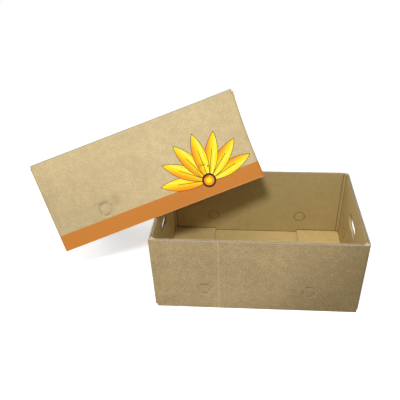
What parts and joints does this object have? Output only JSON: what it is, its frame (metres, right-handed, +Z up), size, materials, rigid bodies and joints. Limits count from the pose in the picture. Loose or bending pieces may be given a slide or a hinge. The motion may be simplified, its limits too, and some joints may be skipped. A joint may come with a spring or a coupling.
{
  "type": "banana box",
  "caption": "Open corrugated fruit tray with hand holes and scored vents, and its deep telescoping lid, printed with a plain band, leaning on one end of it.",
  "frame": {"origin": "middle of the base tray's underside, on the surface that the tray stands on", "axes": "+X along the tray's length, away from the lid; +Y towards the tray's back long wall; +Z up, out of the tray's open top"},
  "size_m": [0.815, 0.5218, 0.4836],
  "materials": {
    "kraft_board": "matt brown kraft liner, double wall corrugated",
    "printed_board": "matt light kraft liner with a flat orange printed band, corrugated"
  },
  "bodies": {
    "root": {"base_tray": "kraft_board", "lid": "printed_board"}
  },
  "joints": []
}
